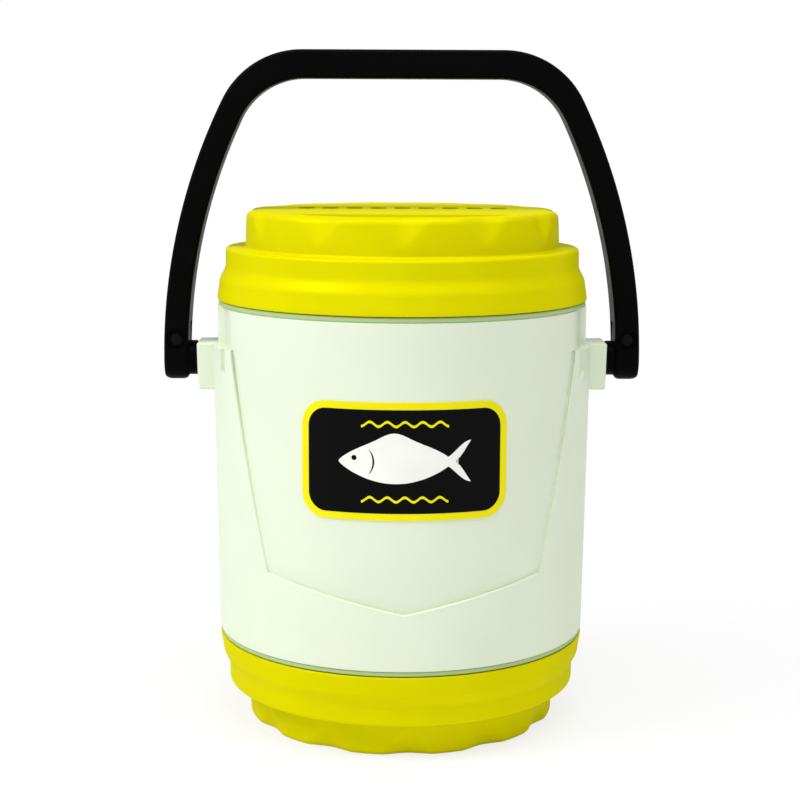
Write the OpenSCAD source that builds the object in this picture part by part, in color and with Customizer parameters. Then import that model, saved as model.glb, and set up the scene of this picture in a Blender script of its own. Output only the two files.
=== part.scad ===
// Insulated double-ended live-bait can: two screw lids, a foam-lined body and a swinging bail.
// Origin at the centre of the face it stands on. Z is the can axis, and the front faces -Y.

/* [Can] */
// Overall height of the can, lid face to lid face
can_h = 190; // [185:0.5:196]
// Radius of the plain body panels
panel_r = 68; // [67.5:0.1:68.4]
// Radius of the inside of the moulded outer shell
shell_in_r = 64.4; // [64.2:0.1:64.6]
// Outer radius of the inner liner
liner_r = 59.2; // [58.8:0.1:59.3]
// Wall of the inner liner
liner_wall = 1.5; // [1.2:0.1:2]

/* [Side saddles] */
// Radius of the saddle at its top ledge
saddle_top_r = 70.1; // [69.4:0.1:71]
// Radius of the saddle at the foot of the body
saddle_foot_r = 68.4; // [68.1:0.1:69]
// Height of the top ledge of the saddle
ledge_z = 141.4; // [138:0.1:144]
// Half width of the shield panel at the ledge
shield_top_half = 60.7; // [59:0.1:61.5]
// Half width of the shield panel at its lower corners
shield_low_half = 48; // [44:0.5:52]
// Height of the lower corners of the shield
shield_low_z = 64.8; // [60:0.1:70]
// Height of the tip of the shield
shield_tip_z = 54.3; // [48:0.1:58]
// Radius of the pockets above the ledge
pocket_r = 66.2; // [65.8:0.1:67]
// Half width of the post above each boss
post_half = 11.2; // [9:0.1:14]

/* [Bosses and bail] */
// Height of the bail pivots
pivot_z = 135; // [133:0.1:136]
// Outer face of the boss at its top
boss_x = 75.8; // [75:0.1:76]
// Half depth of the boss
boss_half = 8.5; // [7:0.1:9]
// Lowest face of the boss
boss_low_z = 124.7; // [122:0.1:126]
// Radius of the pivot stud
stud_r = 3.5; // [3:0.1:4]
// Outer face of the bail arm at the pivot
bail_out_x = 87.95; // [87:0.05:89]
// Thickness of the bail arm
arm_t = 8.95; // [8.5:0.05:9.2]
// Radius of the long bend of the arm, outer side
arm_bend_r = 212; // [205:1:220]
// Radius of the upper corner, outer side
corner_out_r = 32.5; // [30:0.5:35]
// Radius of the upper corner, inner side
corner_in_r = 26; // [24:0.5:28]
// Top of the grip bar
bar_top_z = 247.8; // [244:0.1:250]
// Thickness of the grip bar
bar_t = 10.4; // [9:0.1:11]
// Half depth of the bail, front to back
bail_half = 8; // [7.5:0.1:8.2]
// Height of the cross rivet
rivet_z = 142.4; // [141.5:0.1:143]
// Distance of the cross rivet from the can axis
rivet_x = 83.3; // [83:0.1:83.5]

/* [Screw lids] */
// Height of a lid
lid_h = 32.3; // [31.5:0.1:33]
// Height of the shoulder of a lid above its lower edge
shoulder_u = 18.8; // [18.5:0.1:19.2]
// Radius of the lower edge of the lid
lid_edge_r = 68.3; // [68:0.1:68.8]
// Radius of the upper band of the lid
band_r = 65.1; // [64.8:0.1:65.4]
// Radius of the grip knob
knob_r = 57.8; // [57.2:0.1:58.2]
// Number of finger flutes around the knob
flute_count = 12; // [10:1:14]
// Depth of a flute at the free edge of the knob
flute_depth = 2; // [1.2:0.1:2.4]
// Height of the tip of a flute above the lower edge of the lid
flute_tip_u = 22.6; // [22:0.1:24]
// Turn of the top lid from square with the body, degrees
top_phase = -1; // [-15:0.5:15]
// Turn of the bottom lid from square with the body, degrees
bottom_phase = -1.7; // [-15:0.1:15]
// Number of vent slots in a row
vent_count = 9; // [7:2:9]
// Pitch of the vent slots
vent_pitch = 9; // [8.5:0.1:9]
// Width of a vent slot
vent_w = 6; // [4:0.5:6]

/* [Thread] */
// Rise of the lid in one turn
lead = 10; // [8:0.5:10]
// Root radius of the neck
neck_root_r = 60.8; // [60.7:0.05:60.9]
// Crest radius of the neck thread
neck_crest_r = 62.45; // [62:0.05:62.5]
// Bore radius of the lid
lid_bore_r = 62.95; // [62.9:0.05:63]
// Crest radius of the lid thread
lid_crest_r = 61.3; // [61.2:0.05:61.5]

/* [Front label] */
// Width of the label
label_w = 70.3; // [60:0.1:76]
// Height of the label
label_h = 40.8; // [34:0.1:44]
// Height of the middle of the label
label_z = 108.3; // [100:0.1:112]
// Corner radius of the label
label_corner = 9; // [5:0.5:16]

/* [Hidden] */
$fn = 96;

white = [0.93, 0.96, 0.88];
yellow = [0.88, 0.86, 0.02];
sage = [0.66, 0.76, 0.5];
black = [0.03, 0.03, 0.03];
foam = [0.95, 0.93, 0.82];
steel = [0.7, 0.71, 0.72];

mid_z = can_h / 2;
seam_gap = 0.3;
// Length by which a cutter runs past what it cuts, and by which joined shapes run into each other
over = 1;
// Length by which two solid steps of the stud run into each other
weld = 0.01;
// Clearance of parts that are pressed or glued together, and of foam
fit = 0.05;
foam_gap = 0.1;
flange_t = 1.8;
lid_edge_z = can_h - lid_h;
flange_top_z = lid_edge_z - seam_gap;
body_top_z = flange_top_z - flange_t;
body_foot_z = can_h - body_top_z;
spigot_h = 6;
spigot_t = 1.9;
neck_h = 14.6;
neck_sweep = 260;
neck_thread_z = flange_top_z + 2.9;
rim_z = flange_top_z + neck_h;
rim_round = 0.6;
lip_h = 1.8;
liner_in_r = liner_r - liner_wall;
lid_top_wall = 2.5;
lid_sweep = 200;
lid_thread_u = 5.1;
lid_mouth_w = 3.4;
lid_mouth_u = 2.2;
ceiling_u = shoulder_u - lid_top_wall;
knob_in_r = 53;
sunk_r = 50.6;
sunk_depth = 1.2;
sunk_wall_y = 28.4;
plate_t = 2.5;
plate_u = lid_h - sunk_depth - plate_t;
vent_near_y = 4.5;
vent_far_y = 16.5;
vent_mid_y = (vent_near_y + vent_far_y) / 2;
screen_t = 0.6;
plug_r = 57.1;
plug_u = 8.5;
plug_wall = 1.5;
gasket_t = 1.6;
stud_clearance = 0.06;
pivot_bore_r = stud_r + stud_clearance;
rivet_shank_r = 1.65;
rivet_hole_r = rivet_shank_r + fit;
rivet_seat_r = 3.6;
rivet_seat_depth = 1.4;
hub_r = bail_half;

function arc(cx, cy, r, a0, a1, n) =
    [for (i = [0:n]) let (a = a0 + (a1 - a0) * i / n) [cx + r * cos(a), cy + r * sin(a)]];

function ease(x0, y0, x1, y1, n) =
    [for (i = [0:n]) let (t = i / n) [x0 + (x1 - x0) * (1 - cos(180 * t)) / 2, y0 + (y1 - y0) * t]];

module ring(r_out, r_in, z0, z1) {
    rotate_extrude() translate([r_in, z0]) square([r_out - r_in, z1 - z0]);
}

// A bar with round ends, flat on XY, centred, long side along Y.
module slot_outline(w, l) {
    square([w, l - w], center = true);
    for (s = [-1, 1]) translate([0, s * (l - w) / 2]) circle(d = w);
}

module vent_outline(w) {
    for (i = [0:vent_count - 1]) translate([(i - (vent_count - 1) / 2) * vent_pitch, vent_mid_y])
        slot_outline(w, vent_far_y - vent_near_y);
}

// One start of a helical ridge. It is rooted at root_r, and its crest fades out at both ends.
module thread_ridge(root_r, embed_r, crest_r, z0, sweep) {
    step = 10;
    rings = floor(sweep / step);
    fade = 2;
    half_root = 1.1;
    half_crest = 0.6;
    first = 0.4;
    points = [for (i = [0:rings])
        let (a = i * step, z = z0 + lead * a / 360,
             f = min(1, (i + first) / fade, (rings - i + first) / fade),
             c = root_r + (crest_r - root_r) * f,
             s = embed_r < root_r ? 1 : -1)
        each [for (p = [[embed_r, -half_root], [c, -half_crest], [c, half_crest], [embed_r, half_root]])
              [p[0] * cos(a), p[0] * sin(a), z + s * p[1]]]];
    sides = [for (i = [0:rings - 1], j = [0:3])
        let (a = 4 * i + j, b = 4 * i + (j + 1) % 4)
        each [[b + 4, a + 4, a], [b, b + 4, a]]];
    end = 4 * rings;
    caps = [[2, 1, 0], [3, 2, 0], [end, end + 1, end + 2], [end, end + 2, end + 3]];
    polyhedron(points, concat(sides, caps), convexity = 8);
}

module thread_pair(root_r, embed_r, crest_r, z0, sweep) {
    for (k = [0, 1]) rotate([0, 0, 180 * k]) thread_ridge(root_r, embed_r, crest_r, z0, sweep);
}

// Body

// The plain panels, drawn in a little where the tip of the shield ends.
module panel_body() {
    dip = 0.9;
    dip_low_z = shield_tip_z - 1;
    dip_high_z = 72;
    edge = 0.5;
    rotate_extrude()
        polygon(concat([[shell_in_r, body_foot_z], [panel_r - dip, body_foot_z]],
                       ease(panel_r - dip, dip_low_z, panel_r, dip_high_z, 8),
                       [[panel_r, body_top_z - edge], [panel_r - edge, body_top_z], [shell_in_r, body_top_z]]));
}

module shield_outline() {
    slope = (shield_top_half - shield_low_half) / (ledge_z - shield_low_z);
    half = shield_top_half + slope * over;
    polygon([[-half, ledge_z + over], [-shield_low_half, shield_low_z], [0, shield_tip_z],
             [shield_low_half, shield_low_z], [half, ledge_z + over]]);
}

module saddle() {
    edge = 0.5;
    root_r = shell_in_r + over;
    reach = saddle_top_r + over;
    difference() {
        rotate_extrude()
            polygon([[root_r, body_foot_z], [saddle_foot_r - edge, body_foot_z],
                     [saddle_foot_r, body_foot_z + edge], [saddle_top_r, ledge_z - edge],
                     [saddle_top_r - edge, ledge_z], [root_r, ledge_z]]);
        rotate([90, 0, 0]) translate([0, 0, -reach]) linear_extrude(2 * reach) shield_outline();
    }
}

module pocket_cut() {
    wide = panel_r + over - shield_top_half;
    for (s = [-1, 1], t = [-1, 1]) intersection() {
        ring(panel_r + over, pocket_r, ledge_z, body_top_z + over);
        translate([s > 0 ? shield_top_half : -shield_top_half - wide, t > 0 ? post_half : -panel_r, 0])
            cube([wide, panel_r - post_half, can_h]);
    }
}

module saddle_slot_cut() {
    slot_turn = 23;
    slot_w = 6;
    slot_low_z = 131.2;
    slot_floor_x = 68.6;
    slot_depth = 4;
    bend_z = slot_low_z + slot_w / 2;
    for (a = [slot_turn, -slot_turn, 180 - slot_turn, 180 + slot_turn]) rotate([0, 0, a])
        translate([slot_floor_x, 0, 0]) {
            translate([0, -slot_w / 2, bend_z]) cube([slot_depth, slot_w, body_top_z - bend_z]);
            translate([0, 0, bend_z]) rotate([0, 90, 0]) cylinder(d = slot_w, h = slot_depth);
        }
}

// A drafted block with rounded outer edges, on the +X side.
module boss() {
    draft = 0.4;
    round_r = 0.9;
    back_x = panel_r - over;
    deep = boss_half + over;
    intersection() {
        rotate([90, 0, 0]) translate([0, 0, -deep]) linear_extrude(2 * deep)
            polygon(concat([[back_x, boss_low_z]],
                           arc(boss_x - draft - round_r, boss_low_z + round_r, round_r, -90, 0, 6),
                           arc(boss_x - round_r, ledge_z - round_r, round_r, 0, 90, 6),
                           [[back_x, ledge_z]]));
        translate([0, 0, boss_low_z - over]) linear_extrude(ledge_z - boss_low_z + 2 * over)
            polygon(concat([[back_x, -boss_half]],
                           arc(boss_x - round_r, -boss_half + round_r, round_r, -90, 0, 6),
                           arc(boss_x - round_r, boss_half - round_r, round_r, 0, 90, 6),
                           [[back_x, boss_half]]));
    }
}

module post() {
    post_r = panel_r + 0.2;
    intersection() {
        ring(post_r, shell_in_r + over, ledge_z - over, body_top_z);
        translate([-post_r - over, -post_half, 0]) cube([2 * (post_r + over), 2 * post_half, can_h]);
    }
}

module can_shell() {
    color(white) difference() {
        union() {
            panel_body();
            saddle();
            post();
            for (s = [0, 180]) rotate([0, 0, s]) boss();
        }
        translate([0, 0, body_foot_z - over]) cylinder(r = shell_in_r, h = body_top_z - body_foot_z + 2 * over);
        pocket_cut();
        saddle_slot_cut();
        translate([-boss_x - over, 0, pivot_z]) rotate([0, 90, 0])
            cylinder(r = pivot_bore_r, h = 2 * (boss_x + over));
    }
}

module body_insulation() {
    in_r = liner_r + foam_gap;
    out_r = shell_in_r - foam_gap;
    step_r = shell_in_r - spigot_t - 3 * foam_gap;
    low_z = body_foot_z + foam_gap;
    high_z = body_top_z - foam_gap;
    stud_pocket_r = 7;
    stud_pocket_x = liner_r + 1.4;
    color(foam) difference() {
        rotate_extrude()
            polygon([[in_r, low_z], [step_r, low_z], [step_r, low_z + spigot_h],
                     [out_r, low_z + spigot_h], [out_r, high_z - spigot_h],
                     [step_r, high_z - spigot_h], [step_r, high_z], [in_r, high_z]]);
        for (s = [0, 180]) rotate([0, 0, s]) translate([stud_pocket_x, 0, pivot_z])
            rotate([0, 90, 0]) cylinder(r = stud_pocket_r, h = shell_in_r - liner_r);
    }
}

module inner_liner() {
    color(white) ring(liner_r, liner_in_r, can_h - rim_z + lip_h + fit, rim_z - lip_h - fit);
}

// Threaded collar of the upper end. Its flange shows as the band under the lid.
module neck_ring() {
    bore_r = liner_r + fit;
    edge = 0.4;
    spigot_out_r = shell_in_r - fit;
    flange_r = panel_r - 0.1;
    color(sage) union() {
        rotate_extrude()
            polygon([[bore_r, body_top_z], [spigot_out_r - spigot_t, body_top_z],
                     [spigot_out_r - spigot_t, body_top_z - spigot_h], [spigot_out_r, body_top_z - spigot_h],
                     [spigot_out_r, body_top_z], [flange_r - edge, body_top_z], [flange_r, body_top_z + edge],
                     [flange_r, flange_top_z - edge], [flange_r - edge, flange_top_z],
                     [neck_root_r, flange_top_z], [neck_root_r, rim_z - rim_round],
                     [neck_root_r - rim_round, rim_z], [liner_in_r + rim_round, rim_z],
                     [liner_in_r, rim_z - rim_round], [liner_in_r, rim_z - lip_h], [bore_r, rim_z - lip_h]]);
        thread_pair(neck_root_r, neck_root_r - over, neck_crest_r, neck_thread_z, neck_sweep);
    }
}

// Turns what is drawn for the upper end over to the lower end.
module lower_end() {
    translate([0, 0, can_h]) rotate([180, 0, 0]) children();
}

module top_neck_ring() {
    neck_ring();
}

module bottom_neck_ring() {
    lower_end() neck_ring();
}

// Lids, drawn with u = 0 at the lower edge and then raised to the seam

function lid_outline() =
    let (edge = 0.4, band_u = 6, band_top_u = 12.6, round_r = 1.3, foot_r = 0.8, top_r = 2.4, draft = 0.3,
         knob_top_r = knob_r - draft, lower_band_r = lid_edge_r - 0.8, mouth_r = lid_edge_r - lid_mouth_w)
    concat([[mouth_r, 0], [lid_edge_r - edge, 0], [lid_edge_r, edge]],
           ease(lower_band_r, band_u, band_r + 0.1, band_top_u, 8),
           arc(band_r - round_r, shoulder_u - round_r, round_r, 0, 90, 6),
           arc(knob_r + foot_r, shoulder_u + foot_r, foot_r, -90, -180, 4),
           arc(knob_top_r - top_r, lid_h - top_r, top_r, 0, 90, 8),
           [[0, lid_h], [0, plate_u], [knob_in_r, plate_u], [knob_in_r, ceiling_u],
            [lid_bore_r, ceiling_u], [lid_bore_r, lid_mouth_w], [mouth_r, lid_mouth_u]]);

// A shallow vee with a rounded root, run along the knob. Its root leaves the knob at the flute's
// tip and is deepest at the free edge.
module flute_cut() {
    tip_r = knob_r - 0.1;
    lie = atan(flute_depth / (lid_h - flute_tip_u));
    flank = 11.5;
    root_r = 14;
    half = 12;
    back = 8;
    run_in = 2;
    run_out = 3;
    rise = root_r * (1 - cos(flank)) + (half - root_r * sin(flank)) * tan(flank);
    translate([0, -tip_r, flute_tip_u]) rotate([-lie, 0, 0]) translate([0, 0, -run_in])
        linear_extrude(lid_h - flute_tip_u + run_in + run_out)
            polygon(concat([[-half, -back], [-half, -rise]], arc(0, -root_r, root_r, 90 + flank, 90 - flank, 4),
                           [[half, -rise], [half, -back]]));
}

// The front of the top is sunk a little, up to a straight wall.
module sunk_front() {
    intersection() {
        translate([0, 0, lid_h - sunk_depth]) cylinder(r = sunk_r, h = sunk_depth + over);
        translate([-lid_edge_r, -lid_edge_r, plate_u])
            cube([2 * lid_edge_r, lid_edge_r - sunk_wall_y, lid_h]);
    }
}

module lid_shell(phase) {
    color(yellow) rotate([0, 0, phase]) union() {
        difference() {
            rotate_extrude() polygon(lid_outline());
            for (i = [0:flute_count - 1]) rotate([0, 0, 360 / flute_count * i]) flute_cut();
            sunk_front();
            translate([0, 0, plate_u - over]) linear_extrude(lid_h - plate_u + 2 * over) vent_outline(vent_w);
        }
        rotate([0, 0, -phase])
            thread_pair(lid_bore_r, lid_bore_r + 0.9, lid_crest_r / cos(5), lid_thread_u, lid_sweep);
    }
}

// A wide way for air behind the row of vents
module air_way(z0, z1) {
    way_w = (vent_count - 1) * vent_pitch + vent_w + 2 * over;
    way_l = vent_far_y - vent_near_y + 2 * over;
    translate([-way_w / 2, vent_mid_y - way_l / 2, z0]) cube([way_w, way_l, z1 - z0]);
}

module lid_insulation(phase) {
    low_u = plug_u + plug_wall + foam_gap;
    top_u = plate_u - screen_t - 2 * foam_gap;
    step_u = ceiling_u - plug_wall - foam_gap;
    color(foam) rotate([0, 0, phase]) difference() {
        union() {
            translate([0, 0, low_u]) cylinder(r = plug_r - plug_wall - foam_gap, h = step_u - low_u);
            translate([0, 0, low_u]) cylinder(r = knob_in_r - foam_gap, h = top_u - low_u);
        }
        air_way(low_u - over, top_u + over);
    }
}

// Inner cover of the lid: a shallow plug that enters the neck.
module lid_liner(phase) {
    flange_in_r = knob_in_r + 2 * foam_gap;
    edge = 1;
    drain_w = 2.4;
    color(white) rotate([0, 0, phase]) difference() {
        rotate_extrude()
            polygon([[0, plug_u], [plug_r - edge, plug_u], [plug_r, plug_u + edge], [plug_r, ceiling_u],
                     [flange_in_r, ceiling_u], [flange_in_r, ceiling_u - plug_wall],
                     [plug_r - plug_wall, ceiling_u - plug_wall], [plug_r - plug_wall, plug_u + plug_wall],
                     [0, plug_u + plug_wall]]);
        translate([0, 0, plug_u - over]) linear_extrude(plug_wall + 2 * over) vent_outline(drain_w);
    }
}

module lid_gasket() {
    rim_gap = 0.15;
    side_gap = 0.45;
    gasket_u = rim_z - lid_edge_z + rim_gap;
    color(black) ring(lid_bore_r - side_gap, plug_r + side_gap + rim_gap, gasket_u, gasket_u + gasket_t);
}

// A fine net moulded in one sheet, with open squares only under the vent slots.
module vent_screen(phase) {
    pitch = 3;
    opening = 2.2;
    columns = 26;
    rows = 4;
    sheet_w = 82;
    sheet_l = 30;
    color(steel) rotate([0, 0, phase]) translate([0, 0, plate_u - screen_t - foam_gap])
        linear_extrude(screen_t) difference() {
            translate([0, vent_mid_y]) square([sheet_w, sheet_l], center = true);
            for (i = [0:columns - 1], j = [0:rows - 1])
                translate([(i - (columns - 1) / 2) * pitch, vent_mid_y + (j - (rows - 1) / 2) * pitch])
                    square(opening, center = true);
        }
}

module upper_lid() {
    translate([0, 0, lid_edge_z]) children();
}

module top_lid_shell() {
    upper_lid() lid_shell(top_phase);
}

module top_lid_insulation() {
    upper_lid() lid_insulation(top_phase);
}

module top_lid_liner() {
    upper_lid() lid_liner(top_phase);
}

module top_lid_gasket() {
    upper_lid() lid_gasket();
}

module top_vent_screen() {
    upper_lid() vent_screen(top_phase);
}

module bottom_lid_shell() {
    lower_end() upper_lid() lid_shell(bottom_phase);
}

module bottom_lid_insulation() {
    lower_end() upper_lid() lid_insulation(bottom_phase);
}

module bottom_lid_liner() {
    lower_end() upper_lid() lid_liner(bottom_phase);
}

module bottom_lid_gasket() {
    lower_end() upper_lid() lid_gasket();
}

module bottom_vent_screen() {
    lower_end() upper_lid() vent_screen(bottom_phase);
}

// Bail and pivots, drawn on the +X side and turned round for the -X side

arm_centre_x = bail_out_x - arm_bend_r;
arm_in_r = arm_bend_r - arm_t;
bar_low_z = bar_top_z - bar_t;
plate_in_x = bail_out_x - arm_t;
tongue_cover = 1.95;
plate_out_x = bail_out_x - tongue_cover;
plate_half = 5.2;
plate_low_z = 129.6;
plate_high_z = 148.6;

// Where the long bend meets a corner that is tangent to a level line at the given height.
function corner_angle(bend_r, corner_r, level_z) =
    asin((level_z - corner_r - pivot_z) / (bend_r - corner_r));

function bend_side(bend_r, corner_r, level_z) =
    let (a = corner_angle(bend_r, corner_r, level_z),
         cx = arm_centre_x + (bend_r - corner_r) * cos(a))
    concat(arc(arm_centre_x, pivot_z, bend_r, 0, a, 14),
           arc(cx, level_z - corner_r, corner_r, a, 90, 14));

function backwards(points) = [for (i = [len(points) - 1:-1:0]) points[i]];

function mirrored(points) = [for (p = points) [-p[0], p[1]]];

module bail_outline() {
    foot_z = pivot_z - hub_r - over;
    outer = concat([[bail_out_x, foot_z]], bend_side(arm_bend_r, corner_out_r, bar_top_z));
    inner = concat([[plate_in_x, foot_z]], bend_side(arm_in_r, corner_in_r, bar_low_z));
    polygon(concat(outer, backwards(mirrored(outer)), mirrored(inner), backwards(inner)));
}

module carry_handle() {
    foot_round = 2.4;
    color(black) difference() {
        intersection() {
            rotate([90, 0, 0]) translate([0, 0, -bail_half]) linear_extrude(2 * bail_half)
                bail_outline();
            union() {
                translate([-bail_out_x - over, -bail_half - over, pivot_z])
                    cube([2 * (bail_out_x + over), 2 * (bail_half + over), bar_top_z]);
                translate([-bail_out_x + foot_round, 0, pivot_z]) rotate([0, 90, 0])
                    cylinder(r = hub_r, h = 2 * (bail_out_x - foot_round));
                for (s = [0, 180]) rotate([0, 0, s]) translate([bail_out_x - foot_round, 0, pivot_z])
                    rotate([0, 90, 0]) rotate_extrude() {
                        square([hub_r - foot_round, foot_round]);
                        intersection() {
                            translate([hub_r - foot_round, 0]) circle(r = foot_round);
                            square([hub_r + over, foot_round + over]);
                        }
                    }
            }
        }
        for (s = [0, 180]) rotate([0, 0, s]) {
            translate([plate_in_x - hub_r, -plate_half - fit, plate_low_z - fit])
                cube([plate_out_x - plate_in_x + hub_r + fit, 2 * (plate_half + fit),
                      plate_high_z - plate_low_z + 2 * fit]);
            translate([rivet_x, 0, rivet_z]) rotate([90, 0, 0]) {
                translate([0, 0, -bail_half - over]) cylinder(r = rivet_hole_r, h = 2 * (bail_half + over));
                for (t = [0, 180]) rotate([t, 0, 0]) translate([0, 0, bail_half - rivet_seat_depth])
                    cylinder(r = rivet_seat_r, h = rivet_seat_depth + over);
            }
        }
    }
}

// Stud with a collar against the boss and a square tongue that the arm holds.
module pivot_stud() {
    end_x = 62.3;
    groove_x = 62.98;
    groove_w = 0.84;
    groove_r = 2.75;
    collar_r = 6.4;
    collar_x = boss_x + 0.35;
    collar_h = plate_in_x - collar_x + weld;
    taper = 0.4;
    color(black) difference() {
        union() {
            translate([0, 0, pivot_z]) rotate([0, 90, 0]) {
                translate([0, 0, end_x + taper]) cylinder(r = stud_r, h = collar_x - end_x);
                translate([0, 0, end_x]) cylinder(r1 = stud_r - taper, r2 = stud_r, h = taper);
                translate([0, 0, collar_x]) cylinder(r = collar_r, h = collar_h);
            }
            translate([plate_in_x, -plate_half, plate_low_z])
                cube([plate_out_x - plate_in_x, 2 * plate_half, plate_high_z - plate_low_z]);
        }
        translate([groove_x, 0, pivot_z]) rotate([0, 90, 0]) rotate_extrude()
            translate([groove_r, 0]) square([stud_r, groove_w]);
        translate([rivet_x, bail_half, rivet_z]) rotate([90, 0, 0])
            cylinder(r = rivet_hole_r, h = 2 * bail_half);
    }
}

module pivot_clip() {
    clip_x = 63.05;
    clip_t = 0.7;
    clip_r = 5.4;
    clip_bore_r = 2.8;
    clip_mouth = 4.4;
    color(steel) translate([clip_x, 0, pivot_z]) rotate([0, 90, 0]) difference() {
        cylinder(r = clip_r, h = clip_t);
        translate([0, 0, -over]) cylinder(r = clip_bore_r, h = clip_t + 2 * over);
        translate([0, -clip_mouth / 2, -over]) cube([clip_r + over, clip_mouth, clip_t + 2 * over]);
    }
}

module handle_rivet() {
    head_r = 2.7;
    head_h = 1.1;
    seat = bail_half - rivet_seat_depth;
    dome_r = (head_r * head_r + head_h * head_h) / (2 * head_h);
    color(steel) translate([rivet_x, 0, rivet_z]) rotate([90, 0, 0]) {
        translate([0, 0, -seat]) cylinder(r = rivet_shank_r, h = 2 * seat);
        for (t = [0, 180]) rotate([t, 0, 0]) intersection() {
            translate([0, 0, seat + head_h - dome_r]) sphere(r = dome_r);
            translate([0, 0, seat]) cylinder(r = head_r, h = head_h);
        }
    }
}

module pivot_stud_left() {
    rotate([0, 0, 180]) pivot_stud();
}

module pivot_stud_right() {
    pivot_stud();
}

module pivot_clip_left() {
    rotate([0, 0, 180]) pivot_clip();
}

module pivot_clip_right() {
    pivot_clip();
}

module handle_rivet_left() {
    rotate([0, 0, 180]) handle_rivet();
}

module handle_rivet_right() {
    handle_rivet();
}

module front_label() {
    label_t = 0.3;
    w = label_w - 2 * label_corner;
    h = label_h - 2 * label_corner;
    color(black) intersection() {
        ring(panel_r + label_t, panel_r, label_z - label_h, label_z + label_h);
        translate([0, -panel_r / 2, label_z]) rotate([90, 0, 0]) linear_extrude(panel_r) {
            square([w, label_h], center = true);
            square([label_w, h], center = true);
            for (s = [-1, 1], t = [-1, 1]) translate([s * w / 2, t * h / 2]) circle(r = label_corner);
        }
    }
}

can_shell();
body_insulation();
inner_liner();
top_neck_ring();
bottom_neck_ring();
top_lid_shell();
top_lid_insulation();
top_lid_liner();
top_lid_gasket();
top_vent_screen();
bottom_lid_shell();
bottom_lid_insulation();
bottom_lid_liner();
bottom_lid_gasket();
bottom_vent_screen();
carry_handle();
pivot_stud_left();
pivot_stud_right();
pivot_clip_left();
pivot_clip_right();
handle_rivet_left();
handle_rivet_right();
front_label();
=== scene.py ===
import math

import bmesh
import bpy
from bpy.props import FloatProperty, FloatVectorProperty, IntProperty, PointerProperty
from mathutils import Matrix, Vector


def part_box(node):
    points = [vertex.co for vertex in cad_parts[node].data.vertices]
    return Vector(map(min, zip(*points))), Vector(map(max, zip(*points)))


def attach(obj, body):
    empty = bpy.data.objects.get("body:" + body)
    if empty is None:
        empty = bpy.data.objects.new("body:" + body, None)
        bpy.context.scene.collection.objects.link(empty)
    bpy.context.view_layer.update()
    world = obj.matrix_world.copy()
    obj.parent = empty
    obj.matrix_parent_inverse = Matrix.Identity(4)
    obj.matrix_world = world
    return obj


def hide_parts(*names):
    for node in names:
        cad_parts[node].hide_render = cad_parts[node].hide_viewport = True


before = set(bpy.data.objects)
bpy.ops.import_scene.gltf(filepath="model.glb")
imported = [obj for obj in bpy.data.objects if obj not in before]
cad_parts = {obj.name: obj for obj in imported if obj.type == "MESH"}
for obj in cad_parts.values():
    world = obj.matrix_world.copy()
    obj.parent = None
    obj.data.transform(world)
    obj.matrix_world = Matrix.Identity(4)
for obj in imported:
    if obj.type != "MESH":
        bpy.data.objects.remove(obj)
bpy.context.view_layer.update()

bl_info = {
    "name": "Bait can dressing",
    "version": (1, 0, 0),
    "blender": (4, 5, 0),
    "location": "View3D > Sidebar > Bait Can",
    "description": "Dresses the packed parts of an insulated, double-ended bait can",
    "category": "Object",
}

MM = 0.001
SHELL_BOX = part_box("can_shell")
LID_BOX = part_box("top_lid_shell")
BAIL_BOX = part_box("carry_handle")
LABEL_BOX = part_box("front_label")
CAN_H = LID_BOX[1].z


def length(name, mm, text):
    return FloatProperty(name=name, description=text, default=mm * MM, min=0, unit="LENGTH",
                         subtype="DISTANCE", precision=5)


def angle(name, degrees, text):
    return FloatProperty(name=name, description=text, default=math.radians(degrees), subtype="ANGLE")


def watts(name, value, text):
    return FloatProperty(name=name, description=text, default=value, min=0, unit="POWER")


def spot(name, where, text):
    return FloatVectorProperty(name=name, description=text, default=where, size=3, subtype="XYZ",
                               unit="LENGTH")


def colour(name, rgb, text):
    return FloatVectorProperty(name=name, description=text, default=rgb, min=0, max=1, size=3,
                               subtype="COLOR")


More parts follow.
